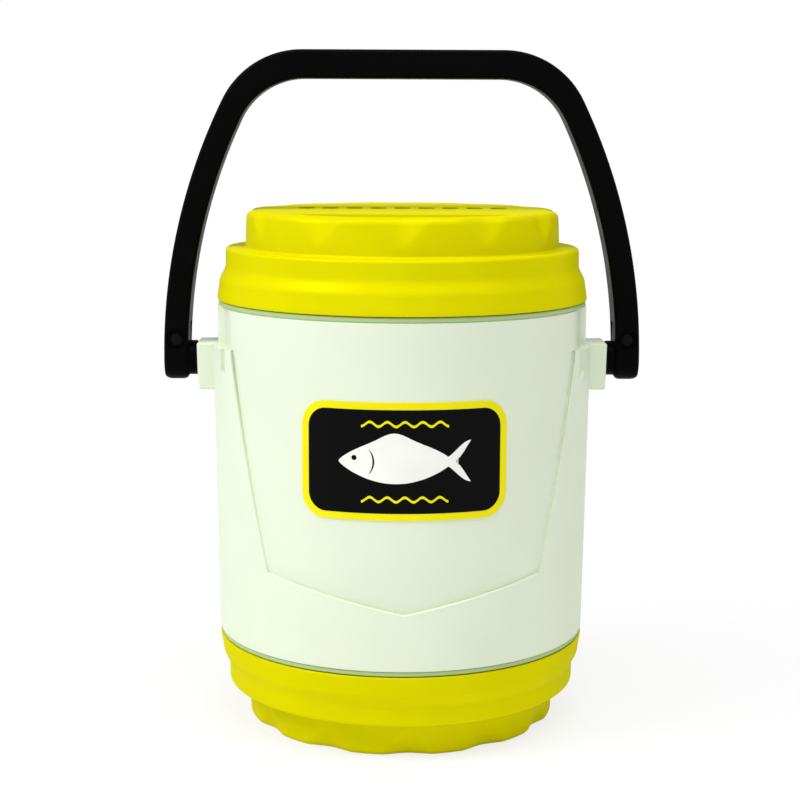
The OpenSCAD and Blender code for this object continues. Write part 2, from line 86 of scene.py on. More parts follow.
class CanSizes(bpy.types.PropertyGroup):
    """Moulded shell between the lids."""

    panel_r: length("Panel radius", 68, "Radius of the plain panels")
    bore_r: length("Bore radius", 64.4, "Inside radius of the shell")
    panel_dip: length("Panel dip", 0.9, "How far the panels draw in below the tip of the shield")
    dip_high_z: length("Dip start", 72, "Height where the panels start to draw in")
    dip_low_z: length("Dip end", 53.3, "Height where the panels stop drawing in")
    saddle_top_r: length("Saddle top radius", 70.1, "Radius of the side saddles at the ledge")
    saddle_foot_r: length("Saddle foot radius", 68.4, "Radius of the side saddles at the foot")
    ledge_z: length("Ledge height", 141.4, "Height of the ledge on top of the saddles")
    shield_top_half: length("Shield half width", 61.8, "Half width of the shield at the ledge")
    shield_low_half: length("Shield lower half width", 48.2, "Half width at the lower corners")
    shield_low_z: length("Shield corner height", 64.8, "Height of the lower corners")
    shield_tip_z: length("Shield tip height", 54.3, "Height of the tip of the shield")
    side_wall: length("Shield side wall", 0.9, "Width of the slope along the sides, seen from the front")
    side_blend: length("Side blend", 5.5, "Width beside the shield where the wall bends back to a circle")
    foot_wall: length("Shield foot wall", 0.16, "Width of the slope along the lower edges")
    edge_step: FloatProperty(name="Edge step", description="Share of the saddle's height at the shield",
                             default=0.55, min=0, max=1)
    edge_swell: length("Edge swell", 9, "Width over which the saddle swells to its full height")
    lip_dip: length("Edge dip", 0.3, "Extra depth of the shield along its edges")
    lip_w: length("Edge dip width", 4, "Width of that extra depth")
    pocket_r: length("Pocket radius", 66.2, "Radius of the pockets above the ledge")
    post_r: length("Post radius", 68.2, "Radius of the posts above the bosses")
    post_half: length("Post half width", 11.2, "Half width of the posts")
    boss_half: length("Boss half depth", 8.5, "Half depth of the pivot bosses")
    boss_low_z: length("Boss foot", 124, "Lowest face of the bosses")
    boss_round: length("Boss edge", 0.9, "Radius of the edges of the bosses")
    pivot_z: length("Pivot height", 135, "Height of the bail pivots")
    pivot_bore_r: length("Pivot bore", 3.56, "Radius of the bores for the pivot studs")
    slot_turn: angle("Slot turn", 23, "Angle between each saddle slot and the bosses")
    slot_w: length("Slot width", 6, "Width of the slots in the saddles")
    slot_low_z: length("Slot foot", 131.2, "Lowest point of the slots in the saddles")
    slot_floor: length("Slot floor", 68.6, "Distance of the slot floors from the can axis")


class LidSizes(bpy.types.PropertyGroup):
    """Screw lid, heights from its lower edge."""

    height: length("Lid height", 32.3, "Height of a lid")
    edge_r: length("Edge radius", 68.3, "Radius of the lower edge")
    band_r: length("Band radius", 65.1, "Radius of the upper band")
    shoulder_u: length("Shoulder", 18.8, "Height of the shoulder")
    knob_r: length("Knob radius", 57.8, "Radius of the grip knob at its foot")
    sunk_r: length("Sunk radius", 50.6, "Outer radius of the sunk front of the top")
    sunk_depth: length("Sunk depth", 1.2, "Depth of the sunk front of the top")
    sunk_wall_y: length("Sunk wall", 28.4, "Distance of its straight wall from the middle of the lid")
    plate_t: length("Plate thickness", 2.5, "Thickness of the top plate where it is sunk")
    bore_r: length("Bore radius", 62.95, "Bore of the lid")
    wall_r: length("Knob bore", 53, "Inside radius of the knob")
    flutes: IntProperty(name="Flutes", description="Number of finger flutes", default=12, min=6, max=20)
    flute_depth: length("Flute depth", 2.3, "Depth of a flute at the free edge")
    flute_tip_u: length("Flute tip", 22.6, "Height of the tip of a flute")
    top_phase: angle("Top lid turn", -1, "Turn of the top lid from square with the can")
    bottom_phase: angle("Bottom lid turn", 1.7, "Turn of the bottom lid from square with the can")
    vents: IntProperty(name="Vents", description="Number of vent slots", default=9, min=3, max=9)
    vent_pitch: length("Vent pitch", 9, "Pitch of the vent slots")
    vent_w: length("Vent width", 6, "Width of a vent slot")
    vent_near_y: length("Vent inner end", 4.5, "Inner end of the slots from the middle of the lid")
    vent_far_y: length("Vent outer end", 16.5, "Outer end of the slots from the middle of the lid")
    lead: length("Thread lead", 10, "Rise of the lid in one turn")


class BailSizes(bpy.types.PropertyGroup):
    """Carrying bail."""

    out_x: length("Arm outer face", 87.95, "Outer face of the arm at the pivot")
    arm_t: length("Arm thickness", 8.95, "Thickness of the arm")
    bend_r: length("Long bend", 212, "Radius of the long bend of the arm")
    corner_out_r: length("Outer corner", 32.5, "Radius of the upper corner, outer side")
    corner_in_r: length("Inner corner", 26, "Radius of the upper corner, inner side")
    bar_t: length("Bar thickness", 10.4, "Thickness of the grip bar")
    edge_r: length("Edge radius", 1.5, "Radius of the long edges")
    foot_round: length("Foot radius", 2.4, "Radius of the rim of the foot")
    tongue_w: length("Tongue width", 10.4, "Width of the stud's tongue in the arm")
    tongue_z: length("Tongue foot", 129.6, "Lower face of the stud's tongue")
    rivet_x: length("Rivet distance", 83.3, "Distance of the cross rivets from the can axis")
    rivet_z: length("Rivet height", 142.4, "Height of the cross rivets")


class LabelSizes(bpy.types.PropertyGroup):
    """Printed front label."""

    corner: length("Corner", 9, "Corner radius of the label")
    border: length("Border", 2.5, "Width of the yellow border")
    base_r: length("Base radius", 68, "Radius of the panel under the label")
    base_t: length("Label thickness", 0.3, "Thickness of the label")
    ink_t: length("Ink thickness", 0.05, "Thickness of the printed layers")
    fish_l: length("Fish length", 46, "Length of the fish")
    fish_h: length("Fish height", 15, "Height of the body of the fish")
    gill_r: length("Gill radius", 6.5, "Radius of the gill line")
    gill_w: length("Gill width", 0.5, "Width of the gill line")
    wave_l: length("Wave length", 30, "Length of a row of waves")
    wave_z: length("Wave offset", 13, "Distance of the waves from the middle of the label")


class FinishColours(bpy.types.PropertyGroup):
    """Colours of the mouldings and prints."""

    shell: colour("Shell", (0.765, 0.835, 0.665), "Milky shell plastic")
    lid: colour("Lid", (0.70, 0.655, 0.001), "Yellow lid plastic")
    # The collar is a real part, but its grey-green is painted shade: the shaded tone of the white plastic, so its
    # thin band between lid and shell reads dark.
    collar: colour("Collar", (0.42, 0.56, 0.26), "Sage collar plastic")
    bail: colour("Bail", (0.0018, 0.0018, 0.0018), "Black bail plastic")
    liner: colour("Liner", (0.82, 0.84, 0.78), "White liner plastic")
    foam: colour("Foam", (0.80, 0.74, 0.52), "Cream insulation foam")
    rubber: colour("Rubber", (0.012, 0.013, 0.012), "Black gasket rubber")
    steel: colour("Steel", (0.58, 0.58, 0.57), "Bright steel")
    enamel: colour("Enamel", (0.004, 0.004, 0.004), "Black paint of the rivets")
    screen: colour("Screen", (0.03, 0.033, 0.03), "Dark mesh behind the vents")
    ink_black: colour("Black ink", (0.002, 0.002, 0.002), "Field of the label")
    ink_yellow: colour("Yellow ink", (0.87, 0.80, 0.005), "Border and waves of the label")
    ink_white: colour("White ink", (0.90, 0.91, 0.86), "Fish of the label")


class StageSettings(bpy.types.PropertyGroup):
    """Camera, lamps and floor."""

    camera_distance: length("Camera distance", 666.3, "Distance of the camera from the can axis")
    camera_height: length("Camera height", 225.3, "Height of the camera")
    camera_turn: angle("Camera turn", -1, "Turn of the camera round the can")
    camera_pitch: angle("Camera pitch", 9.08, "Downward tilt of the camera")
    camera_roll: angle("Camera roll", 0.232, "Roll of the camera")
    focal: FloatProperty(name="Lens", description="Focal length in millimetres", default=80.9)
    photo_px: IntProperty(name="Picture side", description="Side of the square picture", default=800)
    axis_px: FloatProperty(name="Axis column", description="Column that the can axis is on", default=401.7)
    key_at: spot("Key lamp", (-1.28, -0.6, 1.53), "Place of the key lamp")
    key_size: length("Key size", 900, "Diameter of the key lamp")
    key_power: watts("Key power", 19, "Power of the key lamp")
    top_at: spot("Top lamp", (0.16, -0.45, 1.75), "Place of the top lamp")
    top_size: length("Top size", 1100, "Diameter of the top lamp")
    top_power: watts("Top power", 13, "Power of the top lamp")
    sky_level: FloatProperty(name="Sky", description="Strength of the light all round", default=0.53, min=0)
    floor_half: length("Floor half side", 6000, "Half of the side of the floor")
    floor_colour: colour("Floor", (0.94, 0.94, 0.94), "Colour that the floor gives back to the can")
    shadow_near: length("Shadow", 90, "Distance from the axis where the shadow starts to fade")
    shadow_far: length("Shadow end", 300, "Distance from the axis where the floor is all white")
    shadow_white: FloatProperty(name="Shadow white", description="Share of white in the shadow",
                               default=0.78)


class Wire:
    """A node socket that Python's operators add Math nodes to."""

    def __init__(self, nodes, socket):
        self.nodes = nodes
        self.socket = socket

    def maths(self, operation, first, second):
        return self.nodes.node("ShaderNodeMath", {"operation": operation}, {0: first, 1: second})

    def __add__(self, other):
        return self.maths("ADD", self, other)

    def __radd__(self, other):
        return self.maths("ADD", other, self)

    def __sub__(self, other):
        return self.maths("SUBTRACT", self, other)

    def __rsub__(self, other):
        return self.maths("SUBTRACT", other, self)

    def __mul__(self, other):
        return self.maths("MULTIPLY", self, other)

    def __rmul__(self, other):
        return self.maths("MULTIPLY", other, self)

    def __pow__(self, other):
        return self.maths("POWER", self, other)


class Nodes:
    """A node tree under construction."""

    def __init__(self, tree):
        self.tree = tree

    def node(self, kind, settings, inputs, output=0):
        made = self.tree.nodes.new(kind)
        for key, value in settings.items():
            setattr(made, key, value)
        for key, value in inputs.items():
            if isinstance(value, Wire):
                self.tree.links.new(value.socket, made.inputs[key])
            else:
                made.inputs[key].default_value = value
        return Wire(self, made.outputs[output])

    def span(self, value, low, high, to_low, to_high):
        return self.node("ShaderNodeMapRange", {},
                         {"Value": value, "From Min": low, "From Max": high, "To Min": to_low,
                          "To Max": to_high})

    def backdrop_rays(self):
        """1 for rays that look at the background, 0 for rays that light the object."""
        rays = [self.node("ShaderNodeLightPath", {}, {}, kind)
                for kind in ("Is Camera Ray", "Is Glossy Ray", "Is Transmission Ray")]
        return rays[0].maths("MAXIMUM", rays[0].maths("MAXIMUM", rays[0], rays[1]), rays[2])

    def feed(self, wire, node, socket):
        self.tree.links.new(wire.socket, self.tree.nodes[node].inputs[socket])


class Finish(Nodes):
    """A material under construction."""

    def __init__(self, name):
        self.material = bpy.data.materials.new(name)
        self.material.use_nodes = True
        super().__init__(self.material.node_tree)
        self.shader = self.tree.nodes["Principled BSDF"]
        self.place = self.node("ShaderNodeTexCoord", {}, {}, "Object")

    def noise(self, scale, detail=2.0, roughness=0.5):
        return self.node("ShaderNodeTexNoise", {},
                         {"Vector": self.place, "Scale": scale, "Detail": detail, "Roughness": roughness})

    def mix(self, factor, first, second):
        made = self.node("ShaderNodeMix", {"data_type": "RGBA"},
                         {"Factor": factor, "A": first, "B": second}, 2)
        return made

    def bump(self, height, distance, strength=1.0, below=None):
        inputs = {"Height": height, "Distance": distance, "Strength": strength}
        return self.node("ShaderNodeBump", {}, inputs | ({"Normal": below} if below else {}))

    def surface(self, **sockets):
        for key, value in sockets.items():
            socket = self.shader.inputs[key.replace("_", " ").title().replace("Ior", "IOR")]
            if isinstance(value, Wire):
                self.tree.links.new(value.socket, socket)
            else:
                socket.default_value = value
        return self.material


def rgba(rgb, factor=1.0):
    return (rgb[0] * factor, rgb[1] * factor, rgb[2] * factor, 1.0)


def moulded_plastic(name, rgb, roughness, specular, drift=0.04, own_gloss=0.0):
    """Satin moulded plastic: a slow drift of shade, uneven gloss and a fine eroded mould texture.

    Own gloss is the share of gloss that takes the plastic's colour, as in a deeply dyed moulding.
    """
    f = Finish(name)
    slow = f.noise(35, 3)
    cloud = f.noise(140, 4, 0.6)
    fine = f.noise(2600, 3, 0.6)
    shade = f.mix(f.span(slow, 0.3, 0.7, 0, 1), rgba(rgb, 1 - drift), rgba(rgb, 1 + drift / 2))
    gloss = f.span(cloud, 0.3, 0.7, roughness - 0.05, roughness + 0.05)
    sink = f.bump(slow, 0.6 * MM, 0.35)
    texture = f.bump(fine, 0.03 * MM, 0.6, sink)
    return f.surface(base_color=shade, roughness=gloss + 0.04 * fine, normal=texture,
                     specular_ior_level=specular, metallic=own_gloss)


def rigid_foam(name, rgb):
    """Closed-cell foam with small round cells."""
    f = Finish(name)
    cells = f.node("ShaderNodeTexVoronoi", {}, {"Vector": f.place, "Scale": 900.0}, "Distance")
    blotch = f.noise(90, 3)
    shade = f.mix(f.span(cells, 0.0, 0.6, 0, 1), rgba(rgb, 0.82), rgba(rgb, 1.04))
    return f.surface(base_color=shade, roughness=0.85 + 0.1 * blotch, normal=f.bump(cells, 0.0004, 0.8))


def rubber(name, rgb):
    f = Finish(name)
    bloom = f.noise(260, 4, 0.65)
    shade = f.mix(f.span(bloom, 0.35, 0.7, 0, 1), rgba(rgb), rgba(rgb, 2.2))
    return f.surface(base_color=shade, roughness=0.55 + 0.3 * bloom, normal=f.bump(f.noise(1900, 2), 0.00005))


def brushed_steel(name, rgb, roughness):
    """Steel with fine drawn lines along X."""
    f = Finish(name)
    stretch = f.node("ShaderNodeMapping", {}, {"Vector": f.place, "Scale": (200.0, 3000.0, 3000.0)})
    lines = f.node("ShaderNodeTexNoise", {}, {"Vector": stretch, "Scale": 1.0, "Detail": 3.0})
    shade = f.mix(lines, rgba(rgb, 0.86), rgba(rgb, 1.08))
    return f.surface(base_color=shade, metallic=1.0, roughness=roughness + 0.15 * lines,
                     normal=f.bump(lines, 0.00002))


def woven_mesh(name, rgb):
    """Fine square mesh, woven of two crossing sets of threads."""
    f = Finish(name)
    sets = [f.node("ShaderNodeTexWave", {"wave_type": "BANDS", "bands_direction": axis},
                   {"Vector": f.place, "Scale": 320.0, "Distortion": 0.0}) for axis in "XY"]
    weave = sets[0].maths("MAXIMUM", *sets)
    shade = f.mix(weave ** 2, rgba(rgb, 0.25), rgba(rgb))
    return f.surface(base_color=shade, roughness=0.5 + 0.3 * weave, normal=f.bump(weave, 0.15 * MM),
                     specular_ior_level=0.2)


def enamel(name, rgb):
    """Glossy black paint with a slight orange-peel on metal."""
    f = Finish(name)
    peel = f.noise(700, 2)
    shade = f.mix(f.span(peel, 0.3, 0.7, 0, 1), rgba(rgb, 0.8), rgba(rgb, 1.2))
    return f.surface(base_color=shade, roughness=0.2 + 0.12 * peel, normal=f.bump(peel, 0.04 * MM, 0.5),
                     specular_ior_level=0.04)


def printed_ink(name, rgb, roughness=0.4):
    """Screen-printed ink on a vinyl label."""
    f = Finish(name)
    dots = f.noise(3200, 2)
    shade = f.mix(f.span(f.noise(60, 2), 0.3, 0.7, 0, 1), rgba(rgb, 0.96), rgba(rgb, 1.02))
    return f.surface(base_color=shade, roughness=roughness + 0.08 * dots, normal=f.bump(dots, 0.00001),
                     specular_ior_level=0.06)


def arc(cx, cy, r, start, stop, steps):
    """Points on an arc, angles in degrees."""
    turns = [math.radians(start + (stop - start) * i / steps) for i in range(steps + 1)]
    return [(cx + r * math.cos(a), cy + r * math.sin(a)) for a in turns]


def ease(x0, y0, x1, y1, steps):
    """Points on a soft S between two levels."""
    return [(x0 + (x1 - x0) * (1 - math.cos(math.pi * i / steps)) / 2, y0 + (y1 - y0) * i / steps)
            for i in range(steps + 1)]


def line(x0, y0, x1, y1, steps):
    return [(x0 + (x1 - x0) * i / steps, y0 + (y1 - y0) * i / steps) for i in range(steps + 1)]


def soft_step(t):
    t = min(1.0, max(0.0, t))
    return t * t * (3 - 2 * t)


def spun(outline, steps, bm=None):
    """A closed outline of (radius, height) turned round Z."""
    bm = bm or bmesh.new()
    verts = [bm.verts.new((r, 0, z)) for r, z in outline]
    edges = [bm.edges.new(pair) for pair in zip(verts, verts[1:] + verts[:1])]
    bmesh.ops.spin(bm, geom=verts + edges, cent=(0, 0, 0), axis=(0, 0, 1), dvec=(0, 0, 0),
                   angle=2 * math.pi, steps=steps, use_merge=True)
    return bm


def outwards(bm):
    bmesh.ops.remove_doubles(bm, verts=bm.verts, dist=0.002 * MM)
    bmesh.ops.recalc_face_normals(bm, faces=bm.faces)
    return bm


def piece_of(bm, name, finish=None, sharp=32):
    """A mesh object at the origin, smooth but for edges sharper than the given angle."""
    mesh = bpy.data.meshes.new(name)
    bm.to_mesh(mesh)
    bm.free()
    mesh.shade_smooth()
    mesh.set_sharp_from_angle(angle=math.radians(sharp))
    if finish:
        mesh.materials.append(bpy.data.materials[finish])
    piece = bpy.data.objects.new(name, mesh)
    bpy.context.scene.collection.objects.link(piece)
    return piece


def cut(piece, cutter, operation="DIFFERENCE"):
    """Cuts a piece with another, or joins them, and removes the other."""
    step = piece.modifiers.new("cut", "BOOLEAN")
    step.operation = operation
    step.solver = "EXACT"
    step.object = cutter
    bpy.context.view_layer.update()
    shaped = bpy.data.meshes.new_from_object(piece.evaluated_get(bpy.context.evaluated_depsgraph_get()))
    piece.modifiers.clear()
    spent = piece.data
    piece.data = shaped
    shaped.name = spent.name
    bpy.data.meshes.remove(spent)
    cutter_mesh = cutter.data
    bpy.data.objects.remove(cutter)
    bpy.data.meshes.remove(cutter_mesh)
    return piece


def weighted(piece, sharp=32):
    """Keeps flat faces flat beside rounded edges."""
    piece.data.set_sharp_from_angle(angle=math.radians(sharp))
    step = piece.modifiers.new("weighted", "WEIGHTED_NORMAL")
    step.keep_sharp = True
    return piece


def place(piece, body, slot, *nodes):
    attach(piece, body)
    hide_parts(*nodes)
    return piece


def paint(node, finish):
    """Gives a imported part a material."""
    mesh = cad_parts[node].data
    mesh.materials.clear()
    mesh.materials.append(bpy.data.materials[finish])


def on_lower_end(bm):
    """Turns what is modelled for the upper end over to the lower end."""
    turn = Matrix.Translation((0, 0, CAN_H)) @ Matrix.Rotation(math.pi, 4, "X")
    bmesh.ops.transform(bm, matrix=turn, verts=bm.verts)
    return bm


def shield_planes(s, share):
    """Planes along the side and the foot of the shield where the wall has risen by that share.

    They are for the quarter with X above 0 and Y below 0, and face outwards. Below 0 the share is the
    width of a strip inside the shield, in widths of the edge dip.
    """
    strip, share = max(0, -share) * s.lip_w, max(0, share)
    side, foot = s.side_wall * (1 - share) + strip, s.foot_wall * (1 - share) + strip

    def on_wall(x, z):
        return Vector((x, -math.sqrt(s.panel_r ** 2 - x ** 2), z))

    top = on_wall(s.shield_top_half - side, s.ledge_z)
    corner = on_wall(s.shield_low_half - side, s.shield_low_z + 0.6 * foot)
    tip = Vector((0, -s.panel_r, s.shield_tip_z + foot))
    spoke = Vector((top.x + corner.x, top.y + corner.y, 0))
    run = corner - tip
    return ((corner, (top - corner).cross(spoke).normalized()),
            (tip, Vector((run.z, 0, -run.x)).normalized()))


def shield_share(planes, x, y, z):
    """0 on the shield, 1 on the saddle, and the distance outside the shield, for a point on the wall."""
    at = Vector((abs(x), -abs(y), z))
    near, far = ([(at - point).dot(normal) for point, normal in pair] for pair in planes)
    return soft_step(max(a / (a - b) for a, b in zip(near, far))), max(near)


def side_line(s, z):
    """Distance of the shield's side from the middle plane at a height."""
    slope = (s.shield_top_half - s.shield_low_half) / (s.ledge_z - s.shield_low_z)
    return s.shield_low_half + slope * (min(s.ledge_z, z) - s.shield_low_z)


def split(bm, chosen, point, normal):
    """Cuts the faces whose middle passes the test along a plane."""
    faces = [f for f in bm.faces if chosen(f.calc_center_median())]
    edges = {e for f in faces for e in f.edges}
    verts = {v for f in faces for v in f.verts}
    bmesh.ops.bisect_plane(bm, geom=[*verts, *edges, *faces], dist=0.005 * MM, plane_co=point,
                           plane_no=normal)


def wall_radius(s, planes, x, y, z):
    """Outer radius of the shell above a point (x, y, z) of the plain cylinder."""
    dip = s.panel_dip * (1 - soft_step((z - s.dip_low_z) / (s.dip_high_z - s.dip_low_z)))
    rise = (z - SHELL_BOX[0].z) / (s.ledge_z - SHELL_BOX[0].z)
    saddle = s.saddle_foot_r + (s.saddle_top_r - s.saddle_foot_r) * min(1, rise)
    share, outside = shield_share(planes, x, y, z)
    dip += s.lip_dip * (1 - min(1, max(0, -outside) / s.lip_w)) ** 2
    swell = s.edge_step + (1 - s.edge_step) * soft_step(outside / s.edge_swell)
    below = (s.panel_r - dip) + ((saddle - s.panel_r) * swell + dip) * share
    pocket = soft_step((abs(x) - s.shield_top_half + 0.2 * MM) / (2.1 * MM))
    post = soft_step((s.post_half + 0.8 * MM - abs(y)) / (1.6 * MM)) if abs(x) > s.boss_half * 2 else 0
    above = s.panel_r + (s.pocket_r - s.panel_r) * pocket
    above += (s.post_r - above) * post
    return below, above


def shaped_wall(s):
    """The shell as a closed wall, with its shield, saddles, ledges, pockets and posts."""
    low, high, ledge = SHELL_BOX[0].z, SHELL_BOX[1].z, s.ledge_z
    edge = 0.5 * MM
    ledge_rows = [(-0.7, 0, 0), (-0.35, 0, 0.12), (-0.12, 0, 0.32), (0, 0.04, 0.6), (0.03, 0.5, 0),
                  (0.06, 0.88, 0), (0.2, 0.95, 0), (0.45, 0.99, 0), (0.8, 1, 0)]
    outer = [low, low + 0.15 * MM, low + edge]
    outer += [low + 3 * MM + 3.2 * MM * i for i in range(int((ledge - low) / (3.2 * MM)) - 1)]
    outer += [ledge + row[0] * MM for row in ledge_rows]
    outer += [ledge + 3 * MM, ledge + 6 * MM, ledge + 9 * MM, high - edge, high - 0.15 * MM, high]
    outline = [(s.panel_r, z) for z in outer] + [(s.bore_r, z) for z in (high, (low + high) / 2, low)]
    bm = spun(outline, 180)

    def outside(c):
        return c.x * c.x + c.y * c.y > (s.panel_r - 0.5 * MM) ** 2

    for share in (-1, -0.6, -0.3, -0.12, 0, 0.25, 0.5, 0.75, 1, -2):
        (corner, across), (tip, down) = shield_planes(s, share)
        for flip in (Vector((a, b, 1)) for a in (1, -1) for b in (1, -1)):
            split(bm, lambda c: outside(c) and c.x * flip.x > 0 and c.y * flip.y < 0
                  and corner.z - 2 * MM < c.z < ledge, corner * flip, across * flip)
            split(bm, lambda c: outside(c) and c.x * flip.x > -0.1 * MM and c.y * flip.y < 0
                  and c.z < corner.z + 3 * MM, tip * flip, down * flip)
    for k in range(6):
        for side in (1, -1):
            x = side * (s.shield_top_half + (0.42 * k - 0.2) * MM)
            split(bm, lambda c: outside(c) and c.z > ledge - 1 * MM, (x, 0, 0), (1, 0, 0))
            y = side * (s.post_half + (0.4 * k - 0.8) * MM)
            if k < 5:
                split(bm, lambda c: outside(c) and c.z > ledge - 1 * MM and abs(c.x) > 30 * MM,
                      (0, y, 0), (0, 1, 0))
    limit = (s.panel_r - 0.5 * MM) ** 2
    planes = shield_planes(s, 0), shield_planes(s, 1)
    for v in bm.verts:
        x, y, z = v.co
        if x * x + y * y < limit:
            continue
        below, above = wall_radius(s, planes, x, y, z)
        share, rounding = 0.0, 0.0
        rows = [(-99, 0, 0), *ledge_rows, (99, 1, 0)]
        for (z0, t0, d0), (z1, t1, d1) in zip(rows, rows[1:]):
            at = (z - ledge) / MM
            if z0 <= at <= z1:
                k = (at - z0) / (z1 - z0)
                share, rounding = t0 + (t1 - t0) * k, d0 + (d1 - d0) * k
        r = below + (above - below) * share - rounding * MM * min(1, abs(below - above) / (2 * MM))
        ends = min(z - low, high - z)
        r -= edge * (1 - math.sqrt(max(0, 1 - (1 - min(1, ends / edge)) ** 2)))
        beside = soft_step((abs(x) - side_line(s, z)) / s.side_blend)
        moved = x * (1 + beside * (r / math.hypot(x, y) - 1))
        v.co = (moved, math.copysign(math.sqrt(max(0, r * r - moved * moved)), y), z)
    return outwards(bm)


def boss_block(s):
    """The drafted, rounded block that carries a pivot, on the +X side."""
    reach, back = SHELL_BOX[1].x, s.panel_r - 1 * MM
    bm = bmesh.new()
    bmesh.ops.create_cube(bm, size=1)
    bmesh.ops.scale(bm, vec=(reach - back, 2 * s.boss_half, s.ledge_z - s.boss_low_z), verts=bm.verts)
    bmesh.ops.translate(bm, vec=((reach + back) / 2, 0, (s.ledge_z + s.boss_low_z) / 2), verts=bm.verts)
    for v in bm.verts:
        if v.co.x > s.panel_r + 2 * MM and v.co.z < s.pivot_z:
            v.co.x -= 0.4 * MM
    rims = [e for e in bm.edges if max(v.co.x for v in e.verts) > s.panel_r + 2 * MM]
    bmesh.ops.bevel(bm, geom=rims, offset=s.boss_round, segments=4, profile=0.5, affect="EDGES", material=-1)
    return bm


def rod(r, start, run, steps=48):
    """A closed cylinder from a point along a vector, as a cutter."""
    bm = bmesh.new()
    turn = Vector((0, 0, 1)).rotation_difference(run).to_matrix().to_4x4()
    bmesh.ops.create_cone(bm, cap_ends=True, segments=steps, radius1=r, radius2=r, depth=run.length,
                          matrix=Matrix.Translation(start + run / 2) @ turn)
    return piece_of(bm, "cutter")


def slot_cutter(s, turn):
    """A round-ended cutter that stands against the saddle."""
    bm = bmesh.new()
    tall, deep = 20 * MM, 6 * MM
    bmesh.ops.create_cube(bm, size=1)
    bmesh.ops.scale(bm, vec=(deep, s.slot_w, tall), verts=bm.verts)
    bmesh.ops.translate(bm, vec=(s.slot_floor + deep / 2, 0, s.slot_low_z + tall / 2), verts=bm.verts)
    low = [e for e in bm.edges if all(v.co.z < s.slot_low_z + 1 * MM for v in e.verts)
           and abs(e.verts[0].co.x - e.verts[1].co.x) > deep / 2]
    bmesh.ops.bevel(bm, geom=low, offset=s.slot_w * 0.499, segments=10, profile=0.5, affect="EDGES", material=-1)
    bmesh.ops.rotate(bm, cent=(0, 0, 0), matrix=Matrix.Rotation(turn, 3, "Z"), verts=bm.verts)
    return piece_of(bm, "cutter")


class BAIT_OT_stage(bpy.types.Operator):
    """Sets the camera, the soft lamps and the white floor"""

    bl_idname = "bait.stage"
    bl_label = "Stage"

    def execute(self, context):
        s = context.scene.bait_stage
        context.scene.view_settings.view_transform = "Standard"
        camera_data = bpy.data.cameras.new("camera")
        camera = bpy.data.objects.new("camera", camera_data)
        context.scene.collection.objects.link(camera)
        camera_data.lens = s.focal
        camera_data.sensor_width = 36
        camera_data.shift_x = (s.photo_px / 2 - s.axis_px) / s.photo_px
        camera_data.clip_start = 0.05
        camera_data.clip_end = 50
        turn = Matrix.Rotation(s.camera_turn, 4, "Z")
        seat = Matrix.Translation((0, -s.camera_distance, s.camera_height))
        tilt = Matrix.Rotation(math.pi / 2 - s.camera_pitch, 4, "X")
        roll = Matrix.Rotation(s.camera_roll, 4, "Z")
        camera.matrix_world = turn @ seat @ tilt @ roll
        context.scene.camera = camera

        self.lamp(context, "key", s.key_at, s.key_size, s.key_power)
        self.lamp(context, "top", s.top_at, s.top_size, s.top_power)
        world = context.scene.world or bpy.data.worlds.new("world")
        context.scene.world = world
        world.use_nodes = True
        sky = Nodes(world.node_tree)
        sky.feed(sky.span(sky.backdrop_rays(), 0, 1, s.sky_level, 1), "Background", "Strength")
        world.node_tree.nodes["Background"].inputs["Color"].default_value = (1, 1, 1, 1)
        bm = bmesh.new()
        bmesh.ops.create_grid(bm, x_segments=1, y_segments=1, size=s.floor_half)
        self.floor_finish(s)
        piece_of(bm, "floor", "white_floor")
        return {"FINISHED"}

    def lamp(self, context, name, where, size, watts):
        data = bpy.data.lights.new(name, "AREA")
        data.shape = "DISK"
        data.size = size
        data.energy = watts
        lamp = bpy.data.objects.new(name, data)
        context.scene.collection.objects.link(lamp)
        lamp.location = where
        aim = Vector((0, 0, CAN_H / 2)) - Vector(where)
        lamp.rotation_mode = "QUATERNION"
        lamp.rotation_quaternion = aim.to_track_quat("-Z", "Y")

    def floor_finish(self, s):
        """A matte floor that turns to the white of the backdrop away from the can."""
        f = Finish("white_floor")
        far = f.node("ShaderNodeVectorMath", {"operation": "LENGTH"}, {"Vector": f.place}, "Value")
        white = f.span(far, s.shadow_near, s.shadow_far, s.shadow_white, 1)
        glow = f.node("ShaderNodeEmission", {}, {"Color": (1, 1, 1, 1), "Strength": 1.0})
        matte = f.node("ShaderNodeBsdfDiffuse", {}, {"Color": (*s.floor_colour, 1)})
        both = f.node("ShaderNodeMixShader", {}, {0: f.backdrop_rays() * white, 1: matte, 2: glow})
        f.feed(both, "Material Output", "Surface")
        return f.material


class BAIT_OT_shell(bpy.types.Operator):
    """Models the moulded shell with its shield, saddles, ledges and bosses"""

    bl_idname = "bait.shell"
    bl_label = "Can shell"

    def execute(self, context):
        s = context.scene.bait_can
        shell = piece_of(shaped_wall(s), "moulded_shell", "milky_plastic")
        for turn in (0, math.pi):
            bm = boss_block(s)
            bmesh.ops.rotate(bm, cent=(0, 0, 0), matrix=Matrix.Rotation(turn, 3, "Z"), verts=bm.verts)
            cut(shell, piece_of(bm, "cutter"), "UNION")
        reach = SHELL_BOX[1].x + 2 * MM
        cut(shell, rod(s.pivot_bore_r, Vector((-reach, 0, s.pivot_z)), Vector((2 * reach, 0, 0))))
        for turn in (s.slot_turn, -s.slot_turn, math.pi - s.slot_turn, math.pi + s.slot_turn):
            cut(shell, slot_cutter(s, turn))
        place(weighted(shell), "can", "shell_plastic", "can_shell")
        return {"FINISHED"}


